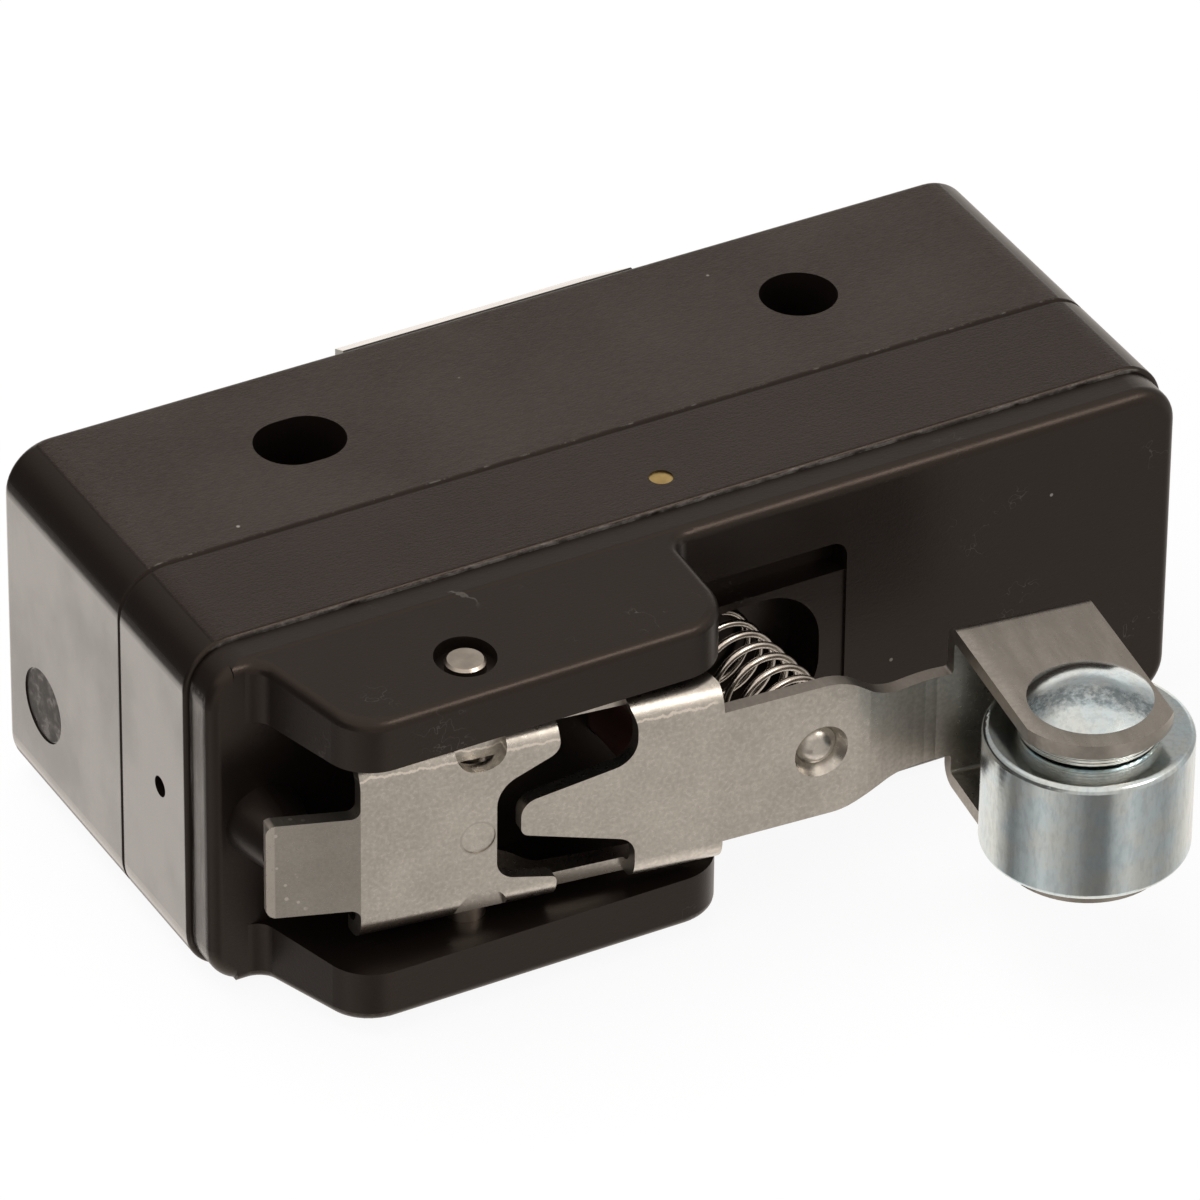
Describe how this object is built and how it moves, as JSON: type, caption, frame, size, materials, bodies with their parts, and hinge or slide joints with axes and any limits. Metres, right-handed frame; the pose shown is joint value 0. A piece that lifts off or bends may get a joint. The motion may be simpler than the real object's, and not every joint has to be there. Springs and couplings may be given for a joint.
{
  "type": "micro switch",
  "caption": "Snap-action micro switch in a black moulded case, with a hinged sheet-metal roller lever, coil return spring, mounting holes and screw terminals.",
  "frame": {"origin": "midway between the two mounting holes, in the plane of the lower side face", "axes": "+X along the case towards the roller's end, +Y towards the terminals, +Z through the case thickness"},
  "size_m": [0.0494, 0.0461, 0.0175],
  "materials": {
    "case_plastic": "moulded phenolic, near black",
    "lever_steel": "tumbled stainless sheet",
    "pin_steel": "drawn steel",
    "roller_steel": "turned, zinc plated",
    "rivet_steel": "zinc plated, bright blue passivated",
    "spring_steel": "bright spring wire",
    "plunger_plastic": "moulded",
    "brass": "plain",
    "contact_silver": "silver alloy",
    "spring_copper": "beryllium copper",
    "screw_steel": "zinc plated"
  },
  "bodies": {
    "case": {"base": "case_plastic", "cover": "case_plastic", "pivot_pin": "pin_steel", "return_spring": "spring_steel", "locating_pin_upper": "brass", "locating_pin_lower": "brass", "snap_blade": "spring_copper", "blade_rivet": "brass", "contact_nc": "contact_silver", "contact_no": "contact_silver", "terminal_common": "brass", "terminal_nc": "brass", "terminal_no": "brass", "terminal_screw_common": "screw_steel", "terminal_screw_nc": "screw_steel", "terminal_screw_no": "screw_steel", "cup_washer_common": "screw_steel", "cup_washer_nc": "screw_steel", "cup_washer_no": "screw_steel"},
    "lever": {"roller_lever": "lever_steel", "roller_washer": "roller_steel", "roller_axle": "rivet_steel"},
    "roller": {"roller": "roller_steel"},
    "plunger": {"plunger": "plunger_plastic"},
    "moving_contact": {"moving_contact": "contact_silver"}
  },
  "joints": [
    {"name": "lever_pivot", "type": "hinge", "parent": "case", "child": "lever", "pos_m": [-0.0137, -0.01745, 0.00875], "axis": [0, 0, 1], "range_deg": [0, 10], "stiffness_Nm_per_rad": 0.12, "springref_deg": -14.32, "deforming": ["return_spring"]},
    {"name": "roller_spin", "type": "hinge", "parent": "lever", "child": "roller", "pos_m": [0.01147, -0.02819, 0.00853], "axis": [0, 0, 1], "continuous": true},
    {"name": "plunger_slide", "type": "slide", "parent": "case", "child": "plunger", "axis": [0, 1, 0], "range_m": [0, 0.0017]},
    {"name": "contact_slide", "type": "slide", "parent": "case", "child": "moving_contact", "axis": [0, 1, 0], "range_m": [0, 0.001], "deforming": ["snap_blade"]}
  ],
  "couplings": [
    {"joint": "plunger_slide", "follows": "lever_pivot", "m_per_rad": 0.0094},
    {"joint": "contact_slide", "follows": "lever_pivot", "m_per_rad": 0.0057}
  ]
}
